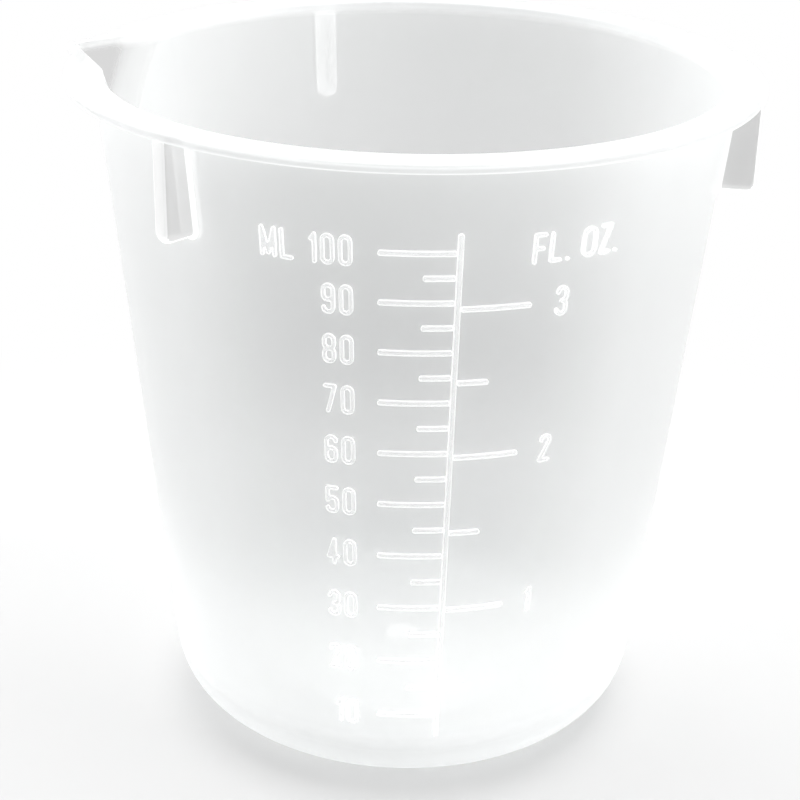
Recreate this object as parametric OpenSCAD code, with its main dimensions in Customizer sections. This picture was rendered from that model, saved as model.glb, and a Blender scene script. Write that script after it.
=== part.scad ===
// Mixing cup for resin, moulded in one shot from natural polypropylene.
// It stands on its foot at z = 0 and its axis is Z. The measuring scale faces -Y.
// Every sub-part is one feature of the moulding and touches its neighbours face to face.

/* [Cup] */
// Height from the table to the top of the rim
cup_h = 63.4; // [61.5:0.1:70]
// Outer diameter of the wall, carried down to the table as if its corner were sharp
base_d = 45; // [43.5:0.5:50]
// Outer diameter of the wall at the top of the rim
top_d = 58; // [56:0.5:60]
// Thickness of the wall, the corner and the spout
wall_t = 0.9; // [0.7:0.05:1.1]

/* [Base] */
// Outer radius of the rounded corner between the wall and the foot
corner_r = 6.2; // [4.5:0.1:7]
// Width of the sloping step from the foot in to the raised panel of the floor
step_w = 2.6; // [2:0.1:5]
// Height of the panel above the trough around it
panel_lift = 2.7; // [1.5:0.1:3.5]
// Thickness of the panel
panel_t = 1; // [0.8:0.1:1.3]
// Diameter of the round gate mark in the middle of the panel
gate_d = 3.5; // [2:0.1:5]
// Height of the gate mark
gate_h = 0.3; // [0.2:0.05:0.6]

/* [Rim] */
// Reach of the flange beyond the outside of the wall
flange_w = 2.6; // [2.6:0.1:5]
// Thickness of the flange, whose outer edge is fully round
flange_t = 0.8; // [0.7:0.05:1.2]
// Radius on the inner edge of the rim
rim_edge_r = 0.35; // [0.2:0.05:0.5]

/* [Spout] */
// Direction in which the spout points, in degrees from +X
spout_az = 161.5; // [155:0.5:170]
// Reach of the channel's point beyond the outside of the wall, at the rim
spout_out = 3.4; // [2.5:0.1:5]
// Half of the angle between the two cheeks, seen from above
cheek_angle = 56; // [50:1:60]
// Lean of the fold between the cheeks, away from upright
fold_lean = 29.3; // [26:0.1:35]
// Radius inside the fold
fold_r = 0.8; // [0.4:0.1:1.5]

/* [Stacking ribs] */
// Reach of a rib beyond the outside of the wall, at the rim
rib_out = 2.3; // [1.5:0.1:2.5]
// Thickness of a rib
rib_t = 1.5; // [1:0.1:2]
// Height of a rib, below the flange
rib_h = 8.7; // [6:0.1:12]
// Radius of the outer bottom corner of a rib
rib_corner_r = 0.75; // [0.3:0.05:1.2]

/* [Scale] */
// Height of the marks and numerals above the wall
mark_raise = 0.25; // [0.15:0.05:0.4]
// Width of a mark's line
mark_t = 0.45; // [0.3:0.05:0.6]
// Width of the upright rail between the two scales
rail_w = 0.5; // [0.4:0.05:0.8]
// Length of a long millilitre mark round the cup, in degrees
long_ml_arc = 13.3; // [11:0.1:15]
// Length of a long ounce mark round the cup, in degrees
long_oz_arc = 12.8; // [11:0.1:15]
// Length of a short mark
short_mark = 2.9; // [2:0.1:3.5]

/* [Numerals] */
// Height of a numeral
text_h = 2.7; // [2.2:0.1:3.2]
// Width of a numeral
digit_w = 1.15; // [1:0.05:1.3]
// Width of a numeral's stroke
stroke = 0.34; // [0.25:0.01:0.38]
// Gap between two numerals
glyph_gap = 0.32; // [0.2:0.02:0.5]
// Gap from the rail to the right-hand end of the millilitre numerals, in degrees
ml_text_arc = 17.4; // [16:0.1:19]
// Gap from the rail to the middle of the ounce numerals, in degrees
oz_text_arc = 18.5; // [17.5:0.1:20]
// Direction of the millilitre unit, in degrees from the rail
unit_ml_arc = 30.4; // [29.5:0.1:31.5]
// Direction of the fluid unit, in degrees from the rail
unit_fl_arc = 15.6; // [15:0.1:15.8]
// Direction of the ounce unit, in degrees from the rail
unit_oz_arc = 24.9; // [24.6:0.1:27]

/* [Hidden] */
$fn = 256;

plastic = [0.93, 0.94, 0.94];

// Draft of the wall
slope = (top_d - base_d) / 2 / cup_h;
draft = atan(slope);
flat_t = wall_t / cos(draft);
rim_r = top_d / 2;
flange_z = cup_h - flange_t;
flange_r = rim_r + flange_w;

// The three ribs stand 120 degrees apart, one of them opposite the spout
rib_reach = rim_r + rib_out;
rib_az = spout_az + 180;
rib_pitch = 120;

// Centre of the rounded corner, in radius and height
corner_x = base_d / 2 + slope * corner_r - corner_r / cos(draft);
corner_z = corner_r;

// Sloping step between the trough and the raised panel
panel_r = corner_x - step_w;
panel_top = wall_t + panel_lift;
step_run = step_w / panel_lift;
step_wide = wall_t * sqrt(1 + step_run * step_run);
foot_r = corner_x - step_wide + wall_t * step_run;
panel_under_r = panel_r - step_wide + panel_t * step_run;

// Cross-section of the spout, square to its fold
cheek_cut = atan(tan(cheek_angle) / cos(fold_lean));
// Length of a cheek before the cup's own wall ends it
cheek_reach = 14;
// Length of the channel before the cup's wall and rim end it
channel_length = 40;
// Depth below the rim at which the channel is well inside the cup
spout_depth = 20;

// Direction of the rail, and how far it runs past the top mark and short of the corner
rail_az = -90;
rail_over = 1.7;
rail_clear = 0.4;
rail_half = rail_w / 2 / rim_r * 180 / PI;
ml_per_oz = 29.5735;

// Widths of the figure one, of the widest letters and of a full stop
narrow_w = 0.62;
wide_w = 1.45;
stop_w = 0.4;

// Parts of the glyphs
half_h = text_h / 2;
half_w = digit_w / 2;
bowl_h = (text_h + stroke) / 2;
five_bowl_h = 0.64 * text_h;
six_bowl_h = 0.6 * text_h;
flag_drop = 0.62;
four_foot = 0.62;
four_stem = 0.3;
hook_h = 0.1;
// Spare width of wall skin beyond each end of a row, in degrees
row_spare = 2;

// Radius of the outside and of the inside of the wall at height z
function wall_r(z) = base_d / 2 + slope * z;
function inner_r(z) = wall_r(z) - flat_t;

// What the rounded corner and the raised panel take from a cup with a plain flat floor
corner_angle = 90 + draft;
corner_share = 1 / tan(corner_angle / 2) - (180 - corner_angle) / 2 * PI / 180;
corner_mid = inner_r(wall_t) - 0.2 * (corner_r - wall_t);
corner_fill = 2 * PI * corner_mid * corner_share * pow(corner_r - wall_t, 2);
panel_fill = PI * panel_lift / 3 * (panel_r * panel_r + panel_r * corner_x + corner_x * corner_x);

// Height to which the cup is filled by a volume in millilitres
function fill_cube(ml) =
    pow(inner_r(wall_t), 3) + 3 * slope / PI * (ml * 1000 + corner_fill + panel_fill);
function fill_z(ml) = (pow(fill_cube(ml), 1 / 3) - inner_r(0)) / slope;

// Angle round the cup of a length on the wall at height z
function arc_of(length, z) = length / wall_r(z) * 180 / PI;

// Solid cone that fills the cup out to its wall, less a depth
module cone_to(depth, z0, z1) {
    translate([0, 0, z0])
        cylinder(h = z1 - z0, r1 = wall_r(z0) - depth, r2 = wall_r(z1) - depth);
}

// Flat channel outline, with its point at the origin and its mouth towards -X
module channel_outline(grow) {
    r = fold_r + grow;
    middle = -fold_r / sin(cheek_cut);
    along = [-cos(cheek_cut), sin(cheek_cut)];
    touch = [middle + r * sin(cheek_cut), r * cos(cheek_cut)];
    far = touch + cheek_reach * along;
    translate([middle, 0])
        circle(r);
    polygon([touch, far, [far[0], -far[1]], [touch[0], -touch[1]]]);
}

// The spout's channel as a leaning prism, grown outwards by the thickness of its cheeks
module channel(grow) {
    rotate([0, 0, spout_az])
        translate([rim_r + spout_out, 0, cup_h])
            rotate([0, fold_lean, 0])
                linear_extrude(height = channel_length, center = true)
                    channel_outline(grow);
}

module cup_wall() {
    color(plastic)
        difference() {
            rotate_extrude()
                polygon([
                    [corner_x + corner_r * cos(draft), corner_z - corner_r * sin(draft)],
                    [wall_r(flange_z), flange_z],
                    [inner_r(flange_z), flange_z],
                    [corner_x + (corner_r - wall_t) * cos(draft),
                     corner_z - (corner_r - wall_t) * sin(draft)]
                ]);
            channel(wall_t);
        }
}

// Cross-section of the flange: round outer edge, small radius on the inner edge
module flange_outline() {
    edge = flange_r - flange_t / 2;
    inner_z = cup_h - rim_edge_r;
    inner_x = inner_r(inner_z) + rim_edge_r / cos(draft);
    past = 2 * flange_t;
    translate([edge, cup_h - flange_t / 2])
        circle(flange_t / 2);
    difference() {
        polygon([
            [inner_r(flange_z), flange_z],
            [edge, flange_z],
            [edge, cup_h],
            [inner_r(cup_h), cup_h]
        ]);
        difference() {
            polygon([
                [inner_x, inner_z],
                [inner_x - past * cos(draft), inner_z + past * sin(draft)],
                [inner_x - past, cup_h + past],
                [inner_x, cup_h + past]
            ]);
            translate([inner_x, inner_z])
                circle(rim_edge_r);
        }
    }
}

module rim_flange() {
    color(plastic)
        difference() {
            rotate_extrude()
                flange_outline();
            channel(wall_t);
        }
}

module pour_spout() {
    below = cup_h - spout_depth;
    color(plastic)
        difference() {
            intersection() {
                channel(wall_t);
                translate([0, 0, below])
                    cylinder(h = cup_h - below, r = 2 * flange_r);
            }
            channel(0);
            cone_to(flat_t, below - wall_t, cup_h + wall_t);
        }
}

module base_corner() {
    color(plastic)
        rotate_extrude()
            translate([corner_x, corner_z])
                intersection() {
                    difference() {
                        circle(corner_r);
                        circle(corner_r - wall_t);
                    }
                    polygon([
                        [0, 0],
                        [0, -2 * corner_r],
                        [2 * corner_r, -2 * corner_r],
                        [2 * corner_r * cos(draft), -2 * corner_r * sin(draft)]
                    ]);
                }
}

module floor_step() {
    color(plastic)
        rotate_extrude()
            polygon([
                [foot_r, 0],
                [corner_x, 0],
                [corner_x, wall_t],
                [panel_r, panel_top],
                [panel_under_r, panel_top - panel_t]
            ]);
}

module floor_panel() {
    color(plastic)
        translate([0, 0, panel_top - panel_t])
            cylinder(h = panel_t, r1 = panel_under_r, r2 = panel_r);
}

module gate_mark() {
    color(plastic)
        translate([0, 0, panel_top])
            cylinder(h = gate_h, d1 = gate_d, d2 = gate_d - gate_h);
}

// One upright rib under the flange, in a direction given in degrees
module stacking_rib(az) {
    round_x = rib_reach - rib_corner_r;
    round_z = flange_z - rib_h + rib_corner_r;
    root = wall_r(flange_z) / 2;
    color(plastic)
        difference() {
            rotate([90, 0, az])
                linear_extrude(height = rib_t, center = true) {
                    translate([root, flange_z - rib_h])
                        square([round_x - root, rib_h]);
                    translate([root, round_z])
                        square([rib_reach - root, flange_z - round_z]);
                    translate([round_x, round_z])
                        circle(rib_corner_r);
                }
            cone_to(0, 0, cup_h);
        }
}

// A band of the raised skin on the wall, between two heights and two directions
module skin(z0, z1, az0, az1) {
    rotate([0, 0, az0])
        rotate_extrude(angle = az1 - az0)
            polygon([
                [wall_r(z0), z0],
                [wall_r(z0) + mark_raise, z0],
                [wall_r(z1) + mark_raise, z1],
                [wall_r(z1), z1]
            ]);
}

// A mark at the level of a volume, from the rail to an angle beyond it
module mark(ml, from, to) {
    z = fill_z(ml);
    skin(z - mark_t / 2, z + mark_t / 2, rail_az + from, rail_az + to);
}

module scale_rail() {
    color(plastic)
        skin(corner_z + rail_clear, fill_z(100) + rail_over, rail_az - rail_half, rail_az + rail_half);
}

module ml_long_marks() {
    color(plastic)
        for (ml = [10:10:100])
            mark(ml, -long_ml_arc, -rail_half);
}

module ml_short_marks() {
    color(plastic)
        for (ml = [15:10:95])
            mark(ml, -arc_of(short_mark, fill_z(ml)), -rail_half);
}

module oz_long_marks() {
    color(plastic)
        for (oz = [1:3])
            mark(oz * ml_per_oz, rail_half, long_oz_arc);
}

module oz_half_marks() {
    color(plastic)
        for (oz = [0.5:1:2.5])
            mark(oz * ml_per_oz, rail_half, arc_of(short_mark, fill_z(oz * ml_per_oz)));
}

// A closed loop with round ends, as tall as it is told
module loop(w, h) {
    difference() {
        stadium(w, h);
        stadium(w - 2 * stroke, h - 2 * stroke);
    }
}

module stadium(w, h) {
    for (side = [-1, 1])
        translate([0, side * (h - w) / 2])
            circle(d = w);
    square([w, h - w], center = true);
}

// A straight stroke between two points
module line(from, to) {
    run = to - from;
    across = [-run[1], run[0]] / norm(run) * stroke / 2;
    polygon([from + across, to + across, to - across, from - across]);
}

module bar(x, y, w, h) {
    translate([x, y])
        square([w, h]);
}

// Each glyph is drawn round the middle of its own box
module glyph(c) {
    if (c == "0")
        loop(digit_w, text_h);
    else if (c == "1")
        one();
    else if (c == "2")
        two();
    else if (c == "3")
        three();
    else if (c == "4")
        four();
    else if (c == "5")
        five();
    else if (c == "6")
        six();
    else if (c == "7")
        seven();
    else if (c == "8")
        eight();
    else if (c == "9")
        rotate([0, 0, 180])
            six();
    else if (c == "M")
        letter_m();
    else if (c == "L")
        letter_l();
    else if (c == "F")
        letter_f();
    else if (c == "O")
        loop(wide_w, text_h);
    else if (c == "Z")
        letter_z();
    else if (c == ".")
        bar(-stroke / 2, -half_h, stroke, stroke);
}

module one() {
    bar(narrow_w / 2 - stroke, -half_h, stroke, text_h);
    line([-narrow_w / 2, half_h - flag_drop], [narrow_w / 2 - stroke / 2, half_h - stroke / 2]);
}

// The part of a glyph's box above a height
module above(y) {
    translate([-text_h, y])
        square(2 * text_h);
}

module two() {
    intersection() {
        loop(digit_w, text_h);
        above(half_h - half_w - hook_h);
    }
    line([half_w - stroke / 2, half_h - half_w - hook_h / 2], [-half_w + stroke / 2, -half_h + stroke / 2]);
    bar(-half_w, -half_h, digit_w, stroke);
}

module eight() {
    for (side = [-1, 1])
        translate([0, side * (text_h - bowl_h) / 2])
            loop(digit_w, bowl_h);
}

module three() {
    difference() {
        eight();
        bar(-digit_w, -half_h + half_w, half_w + stroke * 1.1, text_h - digit_w);
    }
}

module four() {
    stem = half_w - four_stem;
    cross = -half_h + four_foot;
    bar(stem - stroke, -half_h, stroke, text_h);
    bar(-half_w, cross, digit_w, stroke);
    line([-half_w + stroke / 2, cross + stroke / 2], [stem - stroke / 2, half_h - stroke / 2]);
}

module five() {
    top = -half_h + five_bowl_h;
    stem = 1.6 * stroke;
    difference() {
        translate([0, -half_h + five_bowl_h / 2])
            loop(digit_w, five_bowl_h);
        bar(-digit_w, -half_h + half_w, half_w + stroke * 1.1, five_bowl_h - digit_w + hook_h);
    }
    bar(-half_w, top - stem, stroke, text_h - five_bowl_h + stem);
    bar(-half_w, half_h - stroke, digit_w, stroke);
}

module six() {
    translate([0, -half_h + six_bowl_h / 2])
        loop(digit_w, six_bowl_h);
    difference() {
        loop(digit_w, text_h);
        bar(0, -half_h, digit_w, text_h - half_w);
    }
}

module seven() {
    bar(-half_w, half_h - stroke, digit_w, stroke);
    line([half_w - stroke / 2, half_h - stroke / 2], [-half_w / 3, -half_h]);
}

module letter_m() {
    for (side = [-1, 1]) {
        bar(side * (wide_w - stroke) / 2 - stroke / 2, -half_h, stroke, text_h);
        line([side * (wide_w - stroke) / 2, half_h - stroke / 2], [0, -half_h + stroke]);
    }
}

module letter_l() {
    bar(-half_w, -half_h, stroke, text_h);
    bar(-half_w, -half_h, digit_w, stroke);
}

module letter_f() {
    bar(-half_w, -half_h, stroke, text_h);
    bar(-half_w, half_h - stroke, digit_w, stroke);
    bar(-half_w, -stroke / 2, digit_w * 0.85, stroke);
}

module letter_z() {
    bar(-half_w, half_h - stroke, digit_w, stroke);
    bar(-half_w, -half_h, digit_w, stroke);
    line([half_w - stroke / 2, half_h - stroke / 2], [-half_w + stroke / 2, -half_h + stroke / 2]);
}

// Width of one glyph and of a row of them
function glyph_w(c) =
    c == "1" ? narrow_w : c == "." ? stop_w : c == "M" || c == "O" ? wide_w : digit_w;
function row_w(s, n) = n == 0 ? 0 : row_w(s, n - 1) + glyph_w(s[n - 1]) + (n > 1 ? glyph_gap : 0);

// A row of glyphs centred on the origin
module glyph_row(s) {
    for (i = [0:len(s) - 1])
        translate([row_w(s, i + 1) - glyph_w(s[i]) / 2 - row_w(s, len(s)) / 2, 0])
            glyph(s[i]);
}

// A row of glyphs raised on the wall, its middle at an angle from the rail
module raised_row(s, z, middle) {
    spread = arc_of(row_w(s, len(s)), z) / 2 + row_spare;
    az = rail_az + middle;
    color(plastic)
        intersection() {
            skin(z - text_h, z + text_h, az - spread, az + spread);
            translate([0, 0, z])
                rotate([90, 0, az + 90])
                    linear_extrude(height = flange_r)
                        glyph_row(s);
        }
}

module ml_numeral(ml) {
    s = str(ml);
    z = fill_z(ml);
    raised_row(s, z, -ml_text_arc - arc_of(row_w(s, len(s)), z) / 2);
}

module oz_numeral(oz) {
    raised_row(str(oz), fill_z(oz * ml_per_oz), oz_text_arc);
}

module unit_ml() {
    raised_row("ML", fill_z(100), -unit_ml_arc);
}

module unit_fl() {
    raised_row("FL.", fill_z(100), unit_fl_arc);
}

module unit_oz() {
    raised_row("OZ.", fill_z(100), unit_oz_arc);
}

cup_wall();
rim_flange();
pour_spout();
base_corner();
floor_step();
floor_panel();
gate_mark();
stacking_rib(rib_az);  // rib_opposite_spout
stacking_rib(rib_az - rib_pitch);  // rib_left_of_spout
stacking_rib(rib_az + rib_pitch);  // rib_right_of_spout
scale_rail();
ml_long_marks();
ml_short_marks();
oz_long_marks();
oz_half_marks();
ml_numeral(100);  // numeral_100
ml_numeral(90);  // numeral_90
ml_numeral(80);  // numeral_80
ml_numeral(70);  // numeral_70
ml_numeral(60);  // numeral_60
ml_numeral(50);  // numeral_50
ml_numeral(40);  // numeral_40
ml_numeral(30);  // numeral_30
ml_numeral(20);  // numeral_20
ml_numeral(10);  // numeral_10
oz_numeral(3);  // oz_numeral_3
oz_numeral(2);  // oz_numeral_2
oz_numeral(1);  // oz_numeral_1
unit_ml();
unit_fl();
unit_oz();
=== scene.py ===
"""Graduated mixing cup in natural polypropylene, on a white sweep under a soft overhead light."""
from math import asin, atan, cos, degrees, hypot, pi, radians, sin, sqrt, tan

import bmesh
import bpy
from mathutils import Matrix, Vector


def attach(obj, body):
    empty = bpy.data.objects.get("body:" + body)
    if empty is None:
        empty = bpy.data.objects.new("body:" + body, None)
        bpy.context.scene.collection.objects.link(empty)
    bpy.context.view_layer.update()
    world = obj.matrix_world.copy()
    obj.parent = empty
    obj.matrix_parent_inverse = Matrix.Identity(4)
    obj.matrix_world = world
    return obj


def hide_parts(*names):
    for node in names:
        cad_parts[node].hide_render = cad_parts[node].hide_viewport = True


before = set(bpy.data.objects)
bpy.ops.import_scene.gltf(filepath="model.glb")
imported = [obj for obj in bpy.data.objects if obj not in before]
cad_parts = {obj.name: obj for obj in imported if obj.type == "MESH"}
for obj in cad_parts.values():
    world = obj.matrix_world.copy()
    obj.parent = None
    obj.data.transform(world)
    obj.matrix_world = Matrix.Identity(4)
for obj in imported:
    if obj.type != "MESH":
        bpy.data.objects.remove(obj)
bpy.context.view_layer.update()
MM = 0.001

# Camera: seen from above and a little to the left of the scale, with a long lens.
# The place is in metres, the turn and the tilt in degrees, and the roll in radians.
SENSOR, LENS = 36, 82.9
CAMERA_PLACE = (-0.02287, -0.16374, 0.10356)
CAMERA_TURN, CAMERA_DOWN, CAMERA_ROLL = -7.686, 23.96, 0.0203
camera_data = bpy.data.cameras.new("camera")
camera_data.sensor_width = SENSOR
camera_data.lens = LENS
camera = bpy.data.objects.new("camera", camera_data)
bpy.context.scene.collection.objects.link(camera)
bpy.context.scene.camera = camera
camera.matrix_world = (
    Matrix.Translation(CAMERA_PLACE)
    @ Matrix.Rotation(radians(CAMERA_TURN), 4, "Z")
    @ Matrix.Rotation(radians(90 - CAMERA_DOWN), 4, "X")
    @ Matrix.Rotation(CAMERA_ROLL, 4, "Z")
)

# Sizes of the cup, in millimetres and degrees
CUP_H, BASE_D, TOP_D, WALL_T = 63.4, 45.0, 58.0, 0.9
CORNER_R, STEP_W, PANEL_LIFT, PANEL_T = 6.2, 2.6, 2.7, 1.0
GATE_D, GATE_H = 3.5, 0.3
FLANGE_W, FLANGE_T, RIM_EDGE_R = 2.6, 0.8, 0.35
SPOUT_AZ, SPOUT_OUT, CHEEK_ANGLE, FOLD_LEAN = 161.5, 3.4, 56.0, 29.3
RIB_OUT, RIB_T, RIB_H, RIB_CORNER_R = 2.3, 1.5, 8.7, 0.75
MARK_RAISE, MARK_T, RAIL_W = 0.25, 0.45, 0.5
LONG_ML, LONG_OZ, SHORT_MARK = 13.3, 12.8, 2.9
TEXT_H, DIGIT_W, STROKE, GAP = 2.7, 1.15, 0.34, 0.32
NARROW_W, WIDE_W, STOP_W = 0.62, 1.45, 0.4
ML_TEXT, OZ_TEXT, UNIT_ML, UNIT_FL, UNIT_OZ = 17.4, 18.5, 30.4, 15.6, 24.9
RAIL_AZ, ML_PER_OZ = -90.0, 29.5735

SLOPE = (TOP_D - BASE_D) / 2 / CUP_H
DRAFT = atan(SLOPE)
FLAT_T = WALL_T / cos(DRAFT)
FLANGE_Z = CUP_H - FLANGE_T
FLANGE_R = TOP_D / 2 + FLANGE_W
RIB_REACH = TOP_D / 2 + RIB_OUT
CORNER_X = BASE_D / 2 + SLOPE * CORNER_R - CORNER_R / cos(DRAFT)
PANEL_R = CORNER_X - STEP_W
PANEL_TOP = WALL_T + PANEL_LIFT
STEP_RUN = STEP_W / PANEL_LIFT
STEP_WIDE = WALL_T * sqrt(1 + STEP_RUN * STEP_RUN)
FOOT_R = CORNER_X - STEP_WIDE + WALL_T * STEP_RUN
PANEL_UNDER_R = PANEL_R - STEP_WIDE + PANEL_T * STEP_RUN
# Depth to which pieces that stand on the wall are sunk in it
SUNK = 0.12

# Steps of the meshes, and the rounding of small edges, in millimetres and degrees.
# Above SPOUT_FOOT the wall has a row of points every ROW_STEP, so that it can follow the spout.
SPOUT_FOOT, ROW_STEP, ROWS = 52, 0.35, 30
SPOUT_SPREAD, SPOUT_SIDE, FINE_STEPS, COARSE_STEPS = 20, 22, 160, 300
RIB_FILLET, RIB_EDGE_R, RIB_ROUND_STEPS, RIB_SUNK = 0.3, 0.3, 16, 0.5
MARK_EDGE_R, MARK_SLICE, RAIL_SLICES = 0.09, 1.5, 60
STROKE_SIDES, VOXEL, SMOOTHINGS = 16, 0.05, 3

# Surface of the plastic. Distances from the axis and heights are in metres, and scales are per metre.
FLOW_CLOUDS, CLOUD_COVER, CLOUD_SATIN = 80.0, 0.015, 0.03
ORANGE_PEEL, PEEL_STRENGTH, PEEL_DEPTH = 330.0, 0.06, 0.0001
PLATE_FROM, PLATE_TO = 0.0292, 0.0302
SLANT_FROM, SLANT_TO = 0.13, 0.5
LAMP_BASE_Z, LAMP_WALL_Z, LAMP_BASE, LAMP_WALL = 0.004, 0.007, 0.4, 0.15
# Heights over which the view through the plastic goes from the base's light dimming to the full one:
# painted glow at the base
DIM_FROM, DIM_TO, GLOW_BASE_DIM = 0.012, 0.027, 0.96
PLASTIC_IOR = 1.49

# Paper: the camera sees it go to pure white between these distances from the cup, in metres
WHITE_FROM, WHITE_TO = 0.05, 0.1
# Light that the world adds to the lamps
WORLD_LIGHT = 0.26


def wall_r(z):
    """Outer radius of the wall at a height."""
    return BASE_D / 2 + SLOPE * z


def inner_r(z):
    """Inner radius of the wall at a height."""
    return wall_r(z) - FLAT_T


def fill_z(ml):
    """Height to which the cup is filled by a volume."""
    corner = pi / 2 + DRAFT
    share = 1 / tan(corner / 2) - (pi - corner) / 2
    mid = inner_r(WALL_T) - 0.2 * (CORNER_R - WALL_T)
    corner_fill = 2 * pi * mid * share * (CORNER_R - WALL_T) ** 2
    panel_fill = pi * PANEL_LIFT / 3 * (PANEL_R**2 + PANEL_R * CORNER_X + CORNER_X**2)
    cube = inner_r(WALL_T) ** 3 + 3 * SLOPE / pi * (ml * 1000 + corner_fill + panel_fill)
    return (cube ** (1 / 3) - inner_r(0)) / SLOPE


# Materials
def linear(code):
    """Linear colour of an sRGB hex value."""
    parts = [int(code[i : i + 2], 16) / 255 for i in (1, 3, 5)]
    return [c / 12.92 if c <= 0.04045 else ((c + 0.055) / 1.055) ** 2.4 for c in parts] + [1]


def add(tree, kind, inputs=None, **settings):
    """Adds a node. An input given as a socket is linked, and any other is a plain value."""
    made = tree.nodes.new("ShaderNode" + kind)
    for name, value in settings.items():
        setattr(made, name, value)
    for name, value in (inputs or {}).items():
        if isinstance(value, bpy.types.NodeSocket):
            tree.links.new(value, made.inputs[name])
        else:
            made.inputs[name].default_value = value
    return made


def ramp(tree, value, low, high, start, end, soft=True):
    """Goes from start to end while a value goes from low to high."""
    return add(
        tree,
        "MapRange",
        {"Value": value, "From Min": low, "From Max": high, "To Min": start, "To Max": end},
        interpolation_type="SMOOTHSTEP" if soft else "LINEAR",
    ).outputs[0]


def sum_of(tree, one, other):
    return add(tree, "Math", {0: one, 1: other}, operation="ADD").outputs[0]


def milky_plastic(name, colour, opacity, slant, dim, glow, roughness, thick_and_glow=(), thin=0.0):
    """Natural polypropylene: a milky, see-through wall with a soft satin gloss.
    opacity is how much of the view one surface stops, and slant how much more where it is seen edge on.
    dim is what is left of the view that passes. Lamps pass undimmed, because scattered light still
    arrives. thick_and_glow lists bands of height, in metres, where the surface stops more of the view:
    at the rim and the base corner more plastic lies behind it, and below the rim and towards the base,
    the base corner included, the bands add painted glow. thin is how much less of the view the flange
    stops."""
    mat = bpy.data.materials.new(name)
    mat.use_nodes = True
    tree = mat.node_tree
    tree.nodes.clear()
    place = add(tree, "TexCoord").outputs["Object"]
    # Flow clouds of about 12 mm from the moulding
    clouds = add(tree, "TexNoise", {"Vector": place, "Scale": FLOW_CLOUDS, "Detail": 3.0}).outputs[0]
    cover = ramp(tree, clouds, 0.0, 1.0, opacity - CLOUD_COVER, opacity + CLOUD_COVER, soft=False)
    height = add(tree, "SeparateXYZ", {"Vector": place}).outputs["Z"]
    # Bands of height where the surface stops more of the view; some of them are painted glow
    for low, high, more in thick_and_glow:
        cover = sum_of(tree, cover, ramp(tree, height, low, high, 0.0, more))
    # Above the wall the eye looks down into the wall's whole height, but the flange beyond it
    # is a thin plate
    level = add(
        tree, "VectorMath", {0: place, 1: (1.0, 1.0, 0.0)}, operation="MULTIPLY"
    ).outputs["Vector"]
    reach = add(tree, "VectorMath", {0: level}, operation="LENGTH").outputs["Value"]
    cover = sum_of(tree, cover, ramp(tree, reach, PLATE_FROM, PLATE_TO, 0.0, -thin))
    edge_on = add(tree, "LayerWeight", {"Blend": 0.5}).outputs["Facing"]
    # A wall seen at a slant whitens early and then stays even out to its outline
    edge_on = ramp(tree, edge_on, SLANT_FROM, SLANT_TO, 0.0, 1.0)
    cover = add(
        tree, "Math", {0: edge_on, 1: slant, 2: cover}, operation="MULTIPLY_ADD", use_clamp=True
    ).outputs[0]
    # Orange peel of about 3 mm that softens the gloss
    peel = add(tree, "TexNoise", {"Vector": place, "Scale": ORANGE_PEEL, "Detail": 2.0}).outputs[0]
    bump = add(
        tree, "Bump", {"Height": peel, "Strength": PEEL_STRENGTH, "Distance": PEEL_DEPTH}
    ).outputs[0]
    satin = ramp(tree, clouds, 0.0, 1.0, roughness - CLOUD_SATIN, roughness + CLOUD_SATIN, soft=False)
    face = add(
        tree,
        "BsdfPrincipled",
        {"Base Color": linear(colour), "Roughness": satin, "IOR": PLASTIC_IOR, "Normal": bump},
    ).outputs[0]
    through = add(tree, "BsdfTranslucent", {"Color": linear(colour)}).outputs[0]
    body = add(tree, "MixShader", {0: glow, 1: face, 2: through}).outputs[0]
    lamp_ray = add(tree, "LightPath").outputs["Is Shadow Ray"]
    # Lamps shine through the plastic more than the eye sees through it, and least through the base
    lit = ramp(tree, height, LAMP_BASE_Z, LAMP_WALL_Z, LAMP_BASE, LAMP_WALL, soft=False)
    cover = add(
        tree, "Mix", {"Factor": lamp_ray, "A": cover, "B": lit}, data_type="FLOAT"
    ).outputs["Result"]
    # The view is hardly dimmed at the base, and dimmed in full from DIM_TO up. The lesser dimming low
    # down is painted glow: it makes the base and lower wall read brighter.
    upper = ramp(tree, height, DIM_FROM, DIM_TO, GLOW_BASE_DIM, dim)
    tint = add(
        tree, "Mix", {"Factor": lamp_ray, "A": upper, "B": linear("#FFFFFF")}, data_type="RGBA"
    ).outputs["Result"]
    clear = add(tree, "BsdfTransparent", {"Color": tint}).outputs[0]
    both = add(tree, "MixShader", {0: cover, 1: clear, 2: body}).outputs[0]
    add(tree, "OutputMaterial", {"Surface": both})
    return mat


WALL = milky_plastic(
    "polypropylene_natural_moulded",
    "#F2F3F3",
    opacity=0.28,
    slant=0.3,
    dim=0.835,
    glow=0.3,
    roughness=0.32,
    # Rim top: more plastic behind. Below the rim, and rising towards the base: painted glow. Base
    # corner: more plastic behind, with painted glow as well.
    thick_and_glow=((0.0620, 0.0630, 0.7), (0.045, 0.062, 0.13), (0.024, 0.004, 0.12), (0.007, 0.004, 0.45)),
    thin=0.65,
)
# Whiter and more opaque than the wall: painted glow on the edges of the marks, the ribs' roots, ends
# and undersides, and the gate mark
EDGE_GLOW = milky_plastic(
    "polypropylene_edge_painted_glow", "#FFFFFF", opacity=0.7, slant=0.2, dim=0.95, glow=0.5, roughness=0.32
)
# Less opaque and less dimmed than the wall, so the raised marks read lighter: painted light
MARK = milky_plastic(
    "polypropylene_natural_mark", "#F2F3F3", opacity=0.15, slant=0.3, dim=0.95, glow=0.5, roughness=0.32
)
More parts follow.
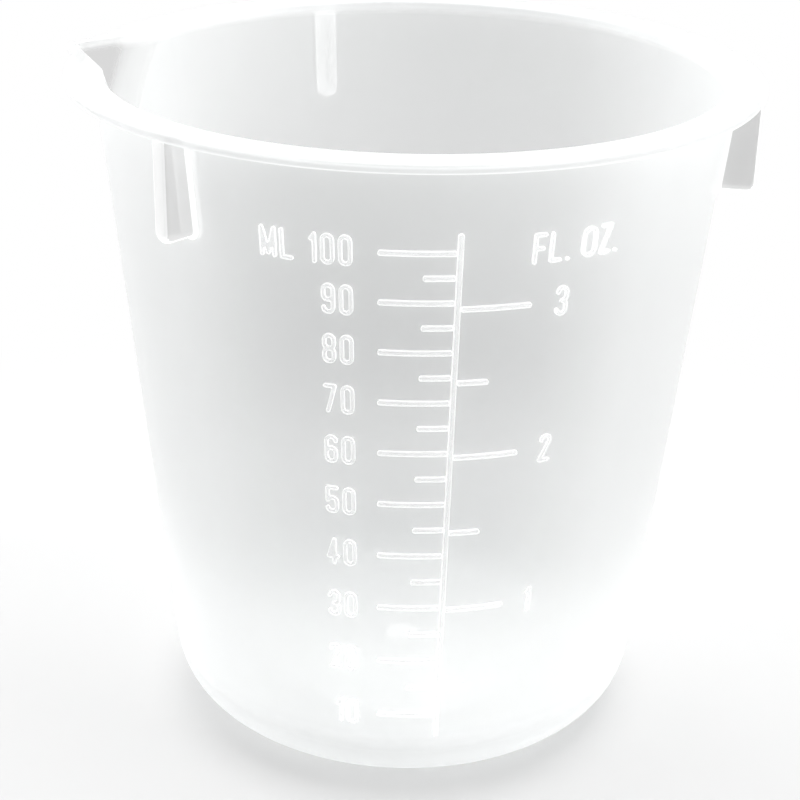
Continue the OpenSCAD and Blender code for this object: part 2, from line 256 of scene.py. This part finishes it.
# The same plastic given a grey colour: painted shade on the ribs' faces
RIB_SHADE = milky_plastic(
    "polypropylene_rib_painted_shade", "#D6D6D6", opacity=0.7, slant=0.1, dim=0.88, glow=0.3, roughness=0.32
)


# Making pieces
def piece(name, bm, nodes, mats, smooth=60):
    """Makes an object from a mesh in millimetres, which rides on the cup and stands for CAD nodes."""
    bmesh.ops.scale(bm, vec=(MM, MM, MM), verts=bm.verts)
    for face in bm.faces:
        face.smooth = True
    mesh = bpy.data.meshes.new(name)
    bm.to_mesh(mesh)
    bm.free()
    for mat in mats:
        mesh.materials.append(mat)
    mesh.set_sharp_from_angle(angle=radians(smooth))
    made = bpy.data.objects.new(name, mesh)
    bpy.context.scene.collection.objects.link(made)
    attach(made, "root")
    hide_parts(*nodes)


def face_outward(bm):
    """Turns every closed part of a mesh so that its faces look outward."""
    bmesh.ops.recalc_face_normals(bm, faces=bm.faces)
    left = set(bm.faces)
    while left:
        front = [left.pop()]
        part = []
        volume = 0
        while front:
            face = front.pop()
            part.append(face)
            corners = [v.co for v in face.verts]
            volume += sum(corners[0].dot(b.cross(c)) for b, c in zip(corners[1:], corners[2:]))
            for edge in face.edges:
                for other in edge.link_faces:
                    if other in left:
                        left.discard(other)
                        front.append(other)
        if volume < 0:
            bmesh.ops.reverse_faces(bm, faces=part)
    bm.normal_update()


def smooth_max(a, b, blend):
    """The larger of two values, with a rounded crossing."""
    near = max(blend - abs(a - b), 0) / blend
    return max(a, b) + near * near * blend / 4


# Shell
def channel_r(side, z, outer):
    """Distance from the axis to the spout's channel, in a direction beside its fold.
    The outer face is 1.2 mm beyond the inner one at the fold, where it is also rounded more."""
    tip = TOP_D / 2 + SPOUT_OUT + 0.2 - (CUP_H - z) * tan(radians(FOLD_LEAN))
    point, soft = (tip + 1.2, 0.6) if outer else (tip, 0.25)
    lean = 1 / tan(radians(CHEEK_ANGLE))
    r = point
    for _ in range(12):
        r = (point - lean * hypot(r * sin(side), soft)) / cos(side)
    return r


def shell_profile():
    """Cross-section of the wall, base and rim, as one closed outline with its corners rounded.
    Each corner is given by its distance from the axis, its height and how far its rounding reaches."""
    bm = bmesh.new()
    heights = [SPOUT_FOOT + ROW_STEP * i for i in range(ROWS)]
    corners = [
        (0, PANEL_TOP - PANEL_T, 0),
        (PANEL_UNDER_R, PANEL_TOP - PANEL_T, 0.6),
        (FOOT_R, 0, 0.25),
        (BASE_D / 2, 0, CORNER_R / tan((pi / 2 + DRAFT) / 2)),
        *[(wall_r(z), z, 0) for z in heights],
        (wall_r(FLANGE_Z), FLANGE_Z, 0.35),
        (FLANGE_R, FLANGE_Z, FLANGE_T * 0.499),
        (FLANGE_R, CUP_H, FLANGE_T * 0.499),
        (inner_r(CUP_H), CUP_H, RIM_EDGE_R),
        *[(inner_r(z), z, 0) for z in reversed(heights)],
        (
            inner_r(0) + SLOPE * WALL_T,
            WALL_T,
            (CORNER_R - WALL_T) / tan((pi / 2 + DRAFT) / 2),
        ),
        (CORNER_X, WALL_T, 0),
        (PANEL_R, PANEL_TOP, 0.5),
        (0, PANEL_TOP, 0),
    ]
    verts = [bm.verts.new((x, 0, z)) for x, z, _ in corners]
    bm.faces.new(verts)
    for vert, (_, _, size) in zip(verts, corners):
        if size:
            bmesh.ops.bevel(
                bm,
                geom=[vert],
                offset=size,
                offset_type="OFFSET",
                segments=14 if size > 3 else 6,
                profile=0.5,
                affect="VERTICES",
                material=-1,
                clamp_overlap=False,
            )
    bmesh.ops.delete(bm, geom=list(bm.faces), context="FACES_ONLY")
    axis = [e for e in bm.edges if all(abs(v.co.x) < 1e-6 for v in e.verts)]
    bmesh.ops.delete(bm, geom=axis, context="EDGES")
    return bm


def turned_shell(spread, fine, coarse):
    """Spins the cross-section right round, in finer steps beside the spout."""
    bm = shell_profile()
    start = radians(SPOUT_AZ) - spread
    bmesh.ops.rotate(bm, verts=bm.verts, matrix=Matrix.Rotation(start, 3, "Z"))
    line = list(bm.verts) + list(bm.edges)
    for angle, steps in ((2 * spread, fine), (2 * pi - 2 * spread, coarse)):
        turned = bmesh.ops.spin(
            bm, geom=line, axis=(0, 0, 1), cent=(0, 0, 0), angle=angle, steps=steps, use_merge=False
        )
        line = turned["geom_last"]
    bmesh.ops.remove_doubles(bm, verts=bm.verts, dist=1e-3)
    bmesh.ops.dissolve_degenerate(bm, edges=bm.edges, dist=1e-5)
    return bm


def push_out(vert):
    """Moves a point of the turned shell out to the spout's channel."""
    z = vert.co.z
    r = hypot(vert.co.x, vert.co.y)
    if z < SPOUT_FOOT or r < 1:
        return
    along = vert.co.xy.normalized()
    ahead = Vector((cos(radians(SPOUT_AZ)), sin(radians(SPOUT_AZ))))
    side = abs(along.angle_signed(ahead))
    if side > radians(SPOUT_SIDE):
        return
    level = min(z, CUP_H - RIM_EDGE_R)
    beyond = channel_r(side, CUP_H - FLANGE_T / 2, True) + 0.1
    lip = smooth_max(FLANGE_R, beyond, 0.5) - FLANGE_R
    if r < inner_r(z) + FLAT_T / 2:
        r += smooth_max(inner_r(level), channel_r(side, level, False), 0.15) - inner_r(level)
    elif r > FLANGE_R - FLANGE_T:
        r += lip
    else:
        r += smooth_max(wall_r(z), channel_r(side, z, True), 0.5) - wall_r(z)
        r = min(r, FLANGE_R - FLANGE_T / 2 + lip - 0.02)
    vert.co.x, vert.co.y = along * r


shell = turned_shell(radians(SPOUT_SPREAD), FINE_STEPS, COARSE_STEPS)
for vert in shell.verts:
    push_out(vert)
face_outward(shell)
piece(
    "cup_shell",
    shell,
    ("cup_wall", "base_corner", "floor_step", "floor_panel", "rim_flange", "pour_spout"),
    [WALL],
    smooth=50,
)

# Gate mark
gate = bmesh.new()
bmesh.ops.create_cone(
    gate,
    cap_ends=True,
    segments=72,
    radius1=GATE_D / 2,
    radius2=GATE_D / 2 - GATE_H / 2,
    depth=GATE_H + SUNK,
)
bmesh.ops.translate(gate, verts=gate.verts, vec=(0, 0, PANEL_TOP + (GATE_H - SUNK) / 2))
top = [f for f in gate.faces if f.normal.z > 0.9]
rim = [e for e in top[0].edges]
bmesh.ops.bevel(
    gate, geom=rim, offset=0.12, segments=3, profile=0.5, affect="EDGES", material=-1
)
top = max(gate.faces, key=lambda f: (f.calc_center_median().z, f.calc_area()))
# Broken-off nub of the runner, in a shallow ring
for inset, lift in ((0.95, 0), (0.12, -0.08), (0.12, 0.2), (0.1, 0.02)):
    bmesh.ops.inset_region(gate, faces=[top], thickness=inset)
    bmesh.ops.translate(gate, verts=top.verts, vec=(0, 0, lift))
# The gate mark is all in the painted edge glow
piece("gate_mark_disc", gate, ("gate_mark",), [EDGE_GLOW], smooth=45)


# Stacking ribs
def stacking_rib(name, az, node):
    """A plate under the flange, with a fillet where it grows out of the wall.
    Its outline is drawn at stations outward from the wall, the first one sunk in it."""
    fillet = RIB_FILLET
    low = FLANGE_Z - RIB_H
    stations = [-RIB_SUNK] + [fillet * share for share in (0, 0.05, 0.13, 0.27, 0.47, 0.7, 1)]
    root = wall_r(low + 2)
    out = RIB_REACH - root
    stations += [out - RIB_CORNER_R, out - 0.5, out - 0.3, out - 0.15, out - 0.05, out]
    steps = RIB_ROUND_STEPS
    bm = bmesh.new()
    first = [bm.verts.new((0, 0, 0)) for _ in range(steps + 3)]
    edges = [bm.edges.new(pair) for pair in zip(first, first[1:] + first[:1])]
    row = first

    def shape(row, d):
        """Lays a row of points round the rib's outline at a distance from the wall."""
        grow = fillet - sqrt(max(fillet**2 - (fillet - max(d, 0)) ** 2, 0)) if d < fillet else 0
        edge = max(d - (out - RIB_EDGE_R), 0)
        half = RIB_T / 2 + grow - (RIB_EDGE_R - sqrt(max(RIB_EDGE_R**2 - edge**2, 0)))
        drop = max(d - (out - RIB_CORNER_R), 0)
        lift = RIB_CORNER_R - sqrt(max(RIB_CORNER_R**2 - drop**2, 0))
        bottom = low - grow + lift
        for i, vert in enumerate(row):
            turn = pi * (i - 1) / steps
            if i in (0, steps + 2):
                vert.co = (0, half if i == 0 else -half, CUP_H - FLANGE_T / 2)
            else:
                vert.co = (0, half * cos(turn), bottom + half * (1 - sin(turn)))
            # Beyond the fillet the stations share out what is left between the leaning wall and
            # the rib's end
            share = max(d - fillet, 0) / (out - fillet)
            near = wall_r(vert.co.z) + min(d, fillet)
            vert.co.x = near + share * (RIB_REACH - near)

    shape(row, stations[0])
    for d in stations[1:]:
        made = bmesh.ops.extrude_edge_only(bm, edges=edges)["geom"]
        fresh = [g for g in made if isinstance(g, bmesh.types.BMVert)]
        twins = {}
        for vert in fresh:
            for e in vert.link_edges:
                other = e.other_vert(vert)
                if other in row:
                    twins[other] = vert
        row = [twins[v] for v in row]
        edges = [
            next(e for e in a.link_edges if e.other_vert(a) is b)
            for a, b in zip(row, row[1:] + row[:1])
        ]
        shape(row, d)
    bmesh.ops.holes_fill(bm, edges=[e for e in bm.edges if e.is_boundary])
    bmesh.ops.rotate(bm, verts=bm.verts, matrix=Matrix.Rotation(radians(az), 3, "Z"))
    face_outward(bm)
    ahead = Vector((cos(radians(az)), sin(radians(az)), 0))
    for face in bm.faces:
        middle = face.calc_center_median()
        rooted = hypot(middle.x, middle.y) < wall_r(middle.z) + 0.3
        ended = face.normal.dot(ahead) > 0.5
        # Root, outer end and underside take the painted edge glow
        face.material_index = 1 if rooted or ended or face.normal.z < -0.6 else 0
    piece(name, bm, (node,), [RIB_SHADE, EDGE_GLOW], smooth=50)


for name, turn, node in (
    ("rib_opposite", 180, "rib_opposite_spout"),
    ("rib_left", 60, "rib_left_of_spout"),
    ("rib_right", -60, "rib_right_of_spout"),
):
    stacking_rib(name, SPOUT_AZ + turn, node)


# Scale
def edge_faces(bm, limit=0.8):
    """Gives the second material, the whiter painted edge glow, to the faces that stand up from the
    wall.
    """
    bm.normal_update()
    for face in bm.faces:
        middle = face.calc_center_median()
        out = Vector((middle.x, middle.y, -SLOPE * hypot(middle.x, middle.y))).normalized()
        face.material_index = 1 if face.normal.dot(out) < limit else 0


def strip(bm, az0, az1, z0, z1, slices):
    """Adds a raised strip with rounded edges, between two directions and two heights."""
    r = wall_r((z0 + z1) / 2)
    length = radians(az1 - az0) * r
    part = bmesh.new()
    bmesh.ops.create_cube(part, size=1)
    bmesh.ops.scale(part, vec=(length, z1 - z0, MARK_RAISE + SUNK), verts=part.verts)
    bmesh.ops.translate(part, verts=part.verts, vec=(0, 0, (MARK_RAISE - SUNK) / 2))
    upright = [e for e in part.edges if abs(e.verts[0].co.z - e.verts[1].co.z) > 0.1]
    corner = min(length, z1 - z0) * 0.4
    rounding = {"profile": 0.5, "affect": "EDGES", "material": -1}
    bmesh.ops.bevel(part, geom=upright, offset=corner, segments=4, **rounding)
    top = max(part.faces, key=lambda f: f.calc_center_median().z)
    bmesh.ops.bevel(part, geom=list(top.edges), offset=MARK_EDGE_R, segments=3, **rounding)
    long_axis = 0 if length > z1 - z0 else 1
    span = max(length, z1 - z0)
    for i in range(1, slices):
        spot = [0, 0, 0]
        spot[long_axis] = span * (i / slices - 0.5)
        way = [0, 0, 0]
        way[long_axis] = 1
        whole = list(part.verts) + list(part.edges) + list(part.faces)
        bmesh.ops.bisect_plane(part, geom=whole, plane_co=spot, plane_no=way)
    middle = radians((az0 + az1) / 2)
    for vert in part.verts:
        x, y, lift = vert.co
        z = (z0 + z1) / 2 + y
        turn = middle + x / r
        vert.co = ((wall_r(z) + lift) * cos(turn), (wall_r(z) + lift) * sin(turn), z)
    mesh = bpy.data.meshes.new("strip")
    part.to_mesh(mesh)
    part.free()
    bm.from_mesh(mesh)
    bpy.data.meshes.remove(mesh)


def strips(name, node, rows):
    """Makes one piece of all the strips that stand for a node."""
    bm = bmesh.new()
    for row in rows:
        strip(bm, *row)
    face_outward(bm)
    edge_faces(bm)
    piece(name, bm, (node,), [MARK, EDGE_GLOW], smooth=70)


def mark(ml, start, end):
    """The strip of a mark at a volume, between two directions from the rail."""
    z = fill_z(ml)
    slices = max(int(abs(end - start) / MARK_SLICE), 1)
    return (RAIL_AZ + start, RAIL_AZ + end, z - MARK_T / 2, z + MARK_T / 2, slices)


def short_arc(ml):
    """Angle that a short mark spans at a volume."""
    return degrees(SHORT_MARK / wall_r(fill_z(ml)))


rail_half = degrees(RAIL_W / TOP_D)
halves = [0.5 * ML_PER_OZ, 1.5 * ML_PER_OZ, 2.5 * ML_PER_OZ]
strips(
    "rail",
    "scale_rail",
    [(RAIL_AZ - rail_half, RAIL_AZ + rail_half, CORNER_R + 0.4, fill_z(100) + 1.7, RAIL_SLICES)],
)
strips(
    "long_marks_ml",
    "ml_long_marks",
    [mark(ml, -LONG_ML, -rail_half) for ml in range(10, 101, 10)],
)
strips(
    "short_marks_ml",
    "ml_short_marks",
    [mark(ml, -short_arc(ml), -rail_half) for ml in range(15, 96, 10)],
)
strips(
    "long_marks_oz",
    "oz_long_marks",
    [mark(oz * ML_PER_OZ, rail_half, LONG_OZ) for oz in (1, 2, 3)],
)
strips("half_marks_oz", "oz_half_marks", [mark(ml, rail_half, short_arc(ml)) for ml in halves])

# Numerals. A, B and W are half of a digit's width, its height and a wide letter's width, each
# less the stroke.
A = (DIGIT_W - STROKE) / 2
B = (TEXT_H - STROKE) / 2
W = (WIDE_W - STROKE) / 2


def arc(x, y, r, start, end):
    """Points on part of a circle."""
    turns = [radians(start + (end - start) * i / 8) for i in range(9)]
    return [(x + r * cos(turn), y + r * sin(turn)) for turn in turns]


def ring(w, low, high):
    """A closed loop with round ends."""
    loop = arc(0, high - w, w, 180, 0) + arc(0, low + w, w, 0, -180)
    return [loop + loop[:1]]


SIX = ring(A, -B, -B + 0.6 * TEXT_H - STROKE) + [[(-A, -B + A)] + arc(0, B - A, A, 180, 0)]
FIVE_TOP = -B + 0.64 * TEXT_H - STROKE
GLYPHS = {
    "0": ring(A, -B, B),
    "1": [
        [(NARROW_W / 2 - STROKE / 2, -B), (NARROW_W / 2 - STROKE / 2, B)],
        [(-NARROW_W / 2 + STROKE / 2, B - 0.42), (NARROW_W / 2 - STROKE / 2, B)],
    ],
    "2": [arc(0, B - A, A, 180, -15) + [(-A, -B), (A, -B)]],
    "3": [
        arc(0, B - A, A, 180, 0)
        + arc(0, A, A, 0, -90)
        + arc(0, -A, A, 90, 0)
        + arc(0, -B + A, A, 0, -180)
    ],
    "4": [[(0.1, -B), (0.1, B), (-A, -B + 0.62), (A, -B + 0.62)]],
    "5": [
        [(A, B), (-A, B), (-A, FIVE_TOP - A * 0.7)],
        [(-A, FIVE_TOP - A * 0.7)] + arc(0, FIVE_TOP - A, A, 140, 0) + arc(0, -B + A, A, 0, -180),
    ],
    "6": SIX,
    "7": [[(-A, B), (A, B), (-DIGIT_W / 6, -B)]],
    "8": ring(A, -B, 0) + ring(A, 0, B),
    "9": [[(-x, -y) for x, y in line] for line in SIX],
    "M": [[(-W, -B), (-W, B), (0, -B + STROKE / 2), (W, B), (W, -B)]],
    "L": [[(-A, B), (-A, -B), (A, -B)]],
    "F": [[(A, B), (-A, B), (-A, -B)], [(-A, 0), (A * 0.7, 0)]],
    "O": ring(W, -B, B),
    "Z": [[(-A, B), (A, B), (-A, -B), (A, -B)]],
    ".": [[(0, -B), (0.02, -B)]],
}
WIDTHS = {"1": NARROW_W, ".": STOP_W, "M": WIDE_W, "O": WIDE_W}


def row_width(text):
    """Width of a row of glyphs, in millimetres."""
    return sum(WIDTHS.get(c, DIGIT_W) for c in text) + GAP * (len(text) - 1)


def stroke(bm, start, end):
    """Adds one straight stroke with round ends, from below the wall to the numeral's face."""
    deep = MARK_RAISE + SUNK
    for x, y in (start, end):
        bmesh.ops.create_cone(
            bm,
            cap_ends=True,
            segments=STROKE_SIDES,
            radius1=STROKE / 2,
            radius2=STROKE / 2,
            depth=deep,
            matrix=Matrix.Translation((x, y, (MARK_RAISE - SUNK) / 2)),
        )
    run = Vector(end) - Vector(start)
    middle = (Vector(end) + Vector(start)) / 2
    bmesh.ops.create_cube(
        bm,
        size=1,
        matrix=Matrix.Translation((middle.x, middle.y, (MARK_RAISE - SUNK) / 2))
        @ Matrix.Rotation(Vector((1, 0)).angle_signed(run) * -1, 4, "Z")
        @ Matrix.Diagonal((run.length, STROKE, deep, 1)),
    )


def numeral(name, node, text, az, z):
    """A row of raised glyphs, run together into one soft-edged solid and laid on the wall."""
    bm = bmesh.new()
    left = -row_width(text) / 2
    for c in text:
        centre = left + WIDTHS.get(c, DIGIT_W) / 2
        left += WIDTHS.get(c, DIGIT_W) + GAP
        for line in GLYPHS[c]:
            for (x0, y0), (x1, y1) in zip(line, line[1:]):
                if hypot(x1 - x0, y1 - y0) > 1e-4:
                    stroke(bm, (centre + x0, y0), (centre + x1, y1))
    mesh = bpy.data.meshes.new(name + "_strokes")
    bm.to_mesh(mesh)
    bm.free()
    rough = bpy.data.objects.new(name + "_strokes", mesh)
    bpy.context.scene.collection.objects.link(rough)
    remesh = rough.modifiers.new("remesh", "REMESH")
    remesh.mode = "VOXEL"
    remesh.voxel_size = VOXEL
    solid = rough.evaluated_get(bpy.context.evaluated_depsgraph_get())
    bm = bmesh.new()
    bm.from_mesh(solid.to_mesh())
    solid.to_mesh_clear()
    bpy.data.objects.remove(rough)
    bpy.data.meshes.remove(mesh)
    for _ in range(SMOOTHINGS):
        bmesh.ops.smooth_vert(
            bm, verts=bm.verts, factor=0.5, use_axis_x=True, use_axis_y=True, use_axis_z=True
        )
    for vert in bm.verts:
        x, y, lift = vert.co
        r = wall_r(z + y)
        turn = radians(az) + asin(x / r)
        vert.co = ((r + lift) * cos(turn), (r + lift) * sin(turn), z + y)
    face_outward(bm)
    edge_faces(bm, 0.85)
    piece(name, bm, (node,), [MARK, EDGE_GLOW], smooth=80)


for ml in range(10, 101, 10):
    z = fill_z(ml)
    half = degrees(row_width(str(ml)) / wall_r(z)) / 2
    numeral("figure_%d" % ml, "numeral_%d" % ml, str(ml), RAIL_AZ - ML_TEXT - half, z)
for oz in (1, 2, 3):
    z = fill_z(oz * ML_PER_OZ)
    numeral("figure_oz_%d" % oz, "oz_numeral_%d" % oz, str(oz), RAIL_AZ + OZ_TEXT, z)
numeral("letters_ml", "unit_ml", "ML", RAIL_AZ - UNIT_ML, fill_z(100))
numeral("letters_fl", "unit_fl", "FL.", RAIL_AZ + UNIT_FL, fill_z(100))
numeral("letters_oz", "unit_oz", "OZ.", RAIL_AZ + UNIT_OZ, fill_z(100))

# Floor, world and lamps
def either(tree, one, other):
    """Is 1 where one ray flag or the other is."""
    return add(tree, "Math", {0: one, 1: other}, operation="MAXIMUM").outputs[0]


floor_mesh = bpy.data.meshes.new("floor")
sweep = bmesh.new()
bmesh.ops.create_grid(sweep, x_segments=2, y_segments=2, size=4)
bmesh.ops.translate(sweep, verts=sweep.verts, vec=(0, 0, -0.00003))
sweep.to_mesh(floor_mesh)
sweep.free()
floor = bpy.data.objects.new("floor", floor_mesh)
bpy.context.scene.collection.objects.link(floor)

paper = bpy.data.materials.new("white_paper_sweep")
paper.use_nodes = True
tree = paper.node_tree
tree.nodes.clear()
rays = add(tree, "LightPath").outputs
seen = either(tree, rays["Is Camera Ray"], rays["Is Glossy Ray"])
seen = either(tree, seen, rays["Is Transmission Ray"])
place = add(tree, "TexCoord").outputs["Object"]
away = add(tree, "VectorMath", {0: place}, operation="LENGTH").outputs["Value"]
away = ramp(tree, away, WHITE_FROM, WHITE_TO, 0.0, 1.0)
lift = add(tree, "Math", {0: seen, 1: away}, operation="MULTIPLY").outputs[0]
matt = add(tree, "BsdfDiffuse", {"Color": linear("#D5D5D5")}).outputs[0]
white = add(tree, "Emission", {"Strength": 1.0}).outputs[0]
both = add(tree, "MixShader", {0: lift, 1: matt, 2: white}).outputs[0]
add(tree, "OutputMaterial", {"Surface": both})
floor_mesh.materials.append(paper)

world = bpy.data.worlds.new("studio")
bpy.context.scene.world = world
world.use_nodes = True
tree = world.node_tree
tree.nodes.clear()
rays = add(tree, "LightPath").outputs
seen = either(tree, rays["Is Camera Ray"], rays["Is Transmission Ray"])
bright = ramp(tree, seen, 0.0, 1.0, WORLD_LIGHT, 1.0, soft=False)
sky = add(tree, "Background", {"Color": linear("#FFFFFF"), "Strength": bright}).outputs[0]
add(tree, "OutputWorld", {"Surface": sky})


def softbox(name, spot, aim, width, depth, power):
    """A square lamp that faces a point."""
    data = bpy.data.lights.new(name, "AREA")
    data.shape = "RECTANGLE"
    data.size, data.size_y = width, depth
    data.energy = power
    lamp = bpy.data.objects.new(name, data)
    bpy.context.scene.collection.objects.link(lamp)
    lamp.location = spot
    lamp.rotation_euler = (Vector(aim) - Vector(spot)).to_track_quat("-Z", "Y").to_euler()


softbox("overhead", (0.06, 0.12, 0.52), (0, 0, 0.03), 0.5, 0.5, 3.45)
softbox("left", (-0.5, 0.07, 0.16), (0, 0, 0.03), 0.3, 0.4, 1.1)
softbox("right", (0.47, -0.2, 0.16), (0, 0, 0.03), 0.3, 0.4, 1.1)
softbox("behind", (-0.25, 0.4, 0.2), (0, 0, 0.05), 0.3, 0.3, 0.7)

bpy.context.scene.view_settings.view_transform = "Standard"
